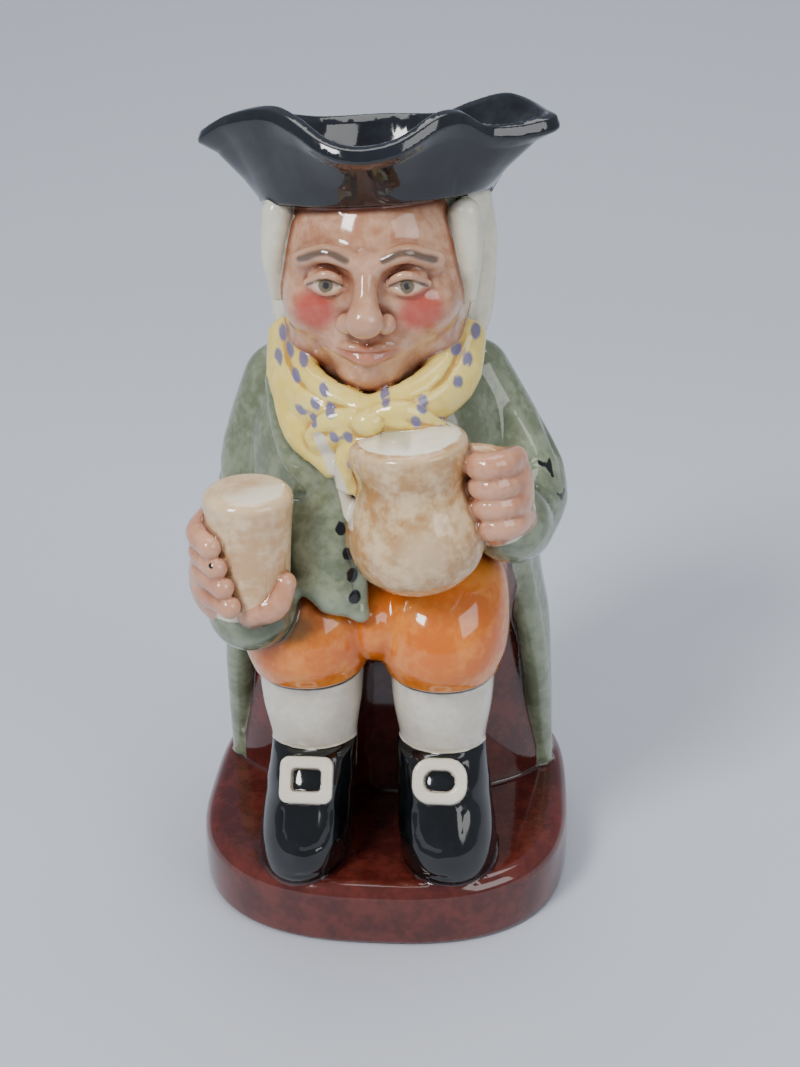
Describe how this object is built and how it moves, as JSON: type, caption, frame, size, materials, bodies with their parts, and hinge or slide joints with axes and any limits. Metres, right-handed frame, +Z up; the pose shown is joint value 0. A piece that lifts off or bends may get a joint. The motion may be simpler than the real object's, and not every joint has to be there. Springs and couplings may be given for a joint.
{
  "type": "toby jug",
  "caption": "Hollow glazed earthenware jug shaped as a seated man in a cocked hat with a beaker and an ale jug; the hat is the mouth and a loop handle is behind.",
  "frame": {"origin": "middle of the plinth's flat underside", "axes": "+Z up through the hat's mouth, -Y the way the figure faces, +X to the right of someone who looks at its face; the handle is on +Y"},
  "size_m": [0.1128, 0.1293, 0.2339],
  "materials": {
    "painted_glaze": "hand-painted underglaze colours in areas: black hat and shoes, sage-green coat, orange breeches, yellow spotted neckerchief, tan jugs, flesh hands and face, cream hair and stockings, dark red-brown chair and plinth, all under one clear glossy glaze"
  },
  "bodies": {
    "root": {"toby_jug": "painted_glaze"}
  },
  "joints": []
}
